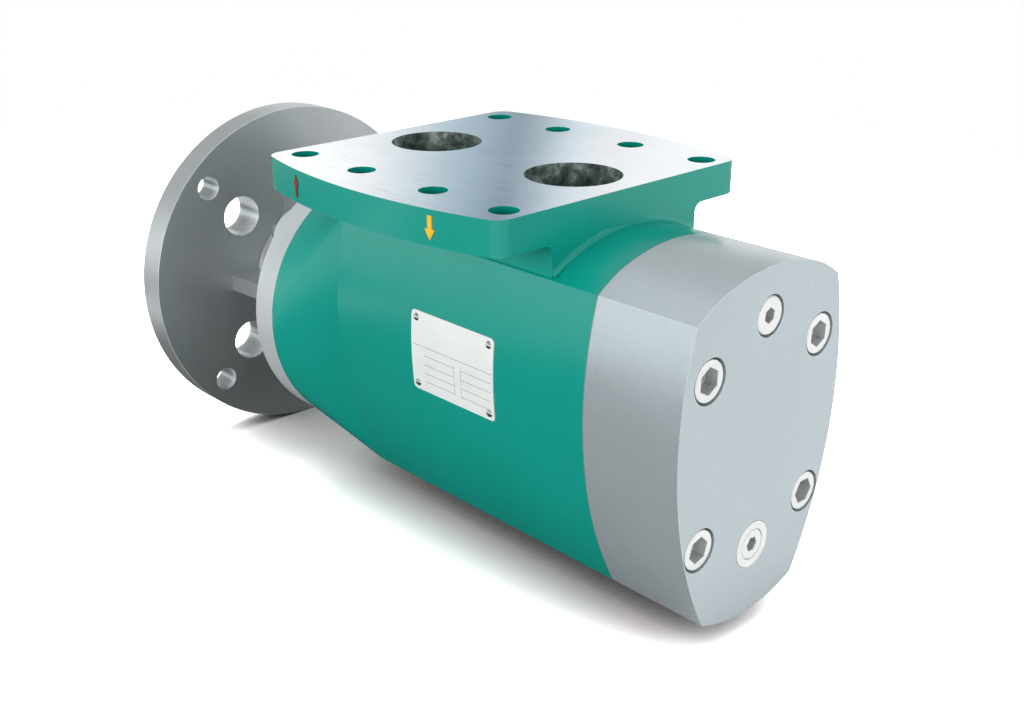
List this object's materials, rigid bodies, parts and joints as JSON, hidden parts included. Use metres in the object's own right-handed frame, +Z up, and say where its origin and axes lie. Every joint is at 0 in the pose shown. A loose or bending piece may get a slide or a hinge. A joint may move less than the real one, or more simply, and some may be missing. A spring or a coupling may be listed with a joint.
{
  "type": "three-screw pump",
  "caption": "Flange-mounted three-screw pump with a four-sided casing, a top plate with suction and discharge ports, a bolted end cover and a keyed drive shaft.",
  "frame": {"origin": "shaft axis at the face of the mounting flange that meets the motor bell or machine", "axes": "+X along the shaft from the drive end to the end cover, +Z up towards the port plate, -Y the side with the nameplate"},
  "size_m": [0.526, 0.25, 0.2517],
  "materials": {
    "bracket_grey": "satin silver-grey paint over cast iron",
    "casing_green": "gloss blue-green paint over cast iron, bare machined top face",
    "cover_grey": "satin silver-grey paint over fine cast grain",
    "rubber": "black nitrile",
    "gasket": "pressed fibre",
    "zinc_screws": "bright zinc plate",
    "zinc_plugs": "bright zinc plate",
    "bronze": "bearing bronze",
    "nameplate": "brushed aluminium with printed lines",
    "rivets": "plain aluminium",
    "arrow_red": "red enamel",
    "arrow_yellow": "yellow enamel",
    "liner_iron": "machined grey iron",
    "bearing_steel": "ground bearing steel",
    "spring_steel": "oiled spring steel",
    "seal_face": "lapped carbon",
    "rotor_steel": "ground and nitrided steel",
    "cage_brass": "machined brass"
  },
  "bodies": {
    "pump_body": {"mounting_flange": "bracket_grey", "drive_bracket": "bracket_grey", "bracket_disc": "bracket_grey", "casing": "casing_green", "cover_skirt": "cover_grey", "end_cover": "cover_grey", "bracket_o_ring": "rubber", "cover_gasket": "gasket", "bracket_screws": "zinc_screws", "cover_screws": "zinc_screws", "vent_plug": "zinc_plugs", "vent_plug_seal": "bronze", "drain_bush": "zinc_plugs", "drain_plug": "zinc_plugs", "nameplate": "nameplate", "nameplate_rivets": "rivets", "flow_arrow_out": "arrow_red", "flow_arrow_in": "arrow_yellow", "rotor_liner": "liner_iron", "throttle_bush": "bronze", "idler_bush_upper": "bronze", "idler_bush_lower": "bronze", "bearing_outer_race": "bearing_steel", "bearing_retaining_ring": "spring_steel", "seal_seat": "seal_face", "seal_seat_o_ring": "rubber"},
    "rotor": {"power_rotor": "rotor_steel", "shaft_key": "spring_steel", "bearing_inner_race": "bearing_steel", "shaft_circlip": "spring_steel", "seal_rotating_ring": "seal_face", "seal_spring": "spring_steel", "seal_drive_collar": "rotor_steel"},
    "upper_idler": {"idler_upper": "rotor_steel"},
    "lower_idler": {"idler_lower": "rotor_steel"},
    "ball_cage": {"bearing_balls": "bearing_steel", "bearing_cage": "cage_brass"}
  },
  "joints": [
    {"name": "rotor_spin", "type": "hinge", "parent": "pump_body", "child": "rotor", "pos_m": [0, 0, 0], "axis": [1, 0, 0], "continuous": true},
    {"name": "idler_upper_spin", "type": "hinge", "parent": "pump_body", "child": "upper_idler", "pos_m": [0, 0, 0.038], "axis": [1, 0, 0], "continuous": true},
    {"name": "idler_lower_spin", "type": "hinge", "parent": "pump_body", "child": "lower_idler", "pos_m": [0, 0, -0.038], "axis": [1, 0, 0], "continuous": true},
    {"name": "bearing_cage_spin", "type": "hinge", "parent": "pump_body", "child": "ball_cage", "pos_m": [0, 0, 0], "axis": [1, 0, 0], "continuous": true}
  ],
  "couplings": [
    {"joint": "idler_upper_spin", "follows": "rotor_spin", "ratio": -1},
    {"joint": "idler_lower_spin", "follows": "rotor_spin", "ratio": -1},
    {"joint": "bearing_cage_spin", "follows": "rotor_spin", "ratio": 0.39674}
  ]
}
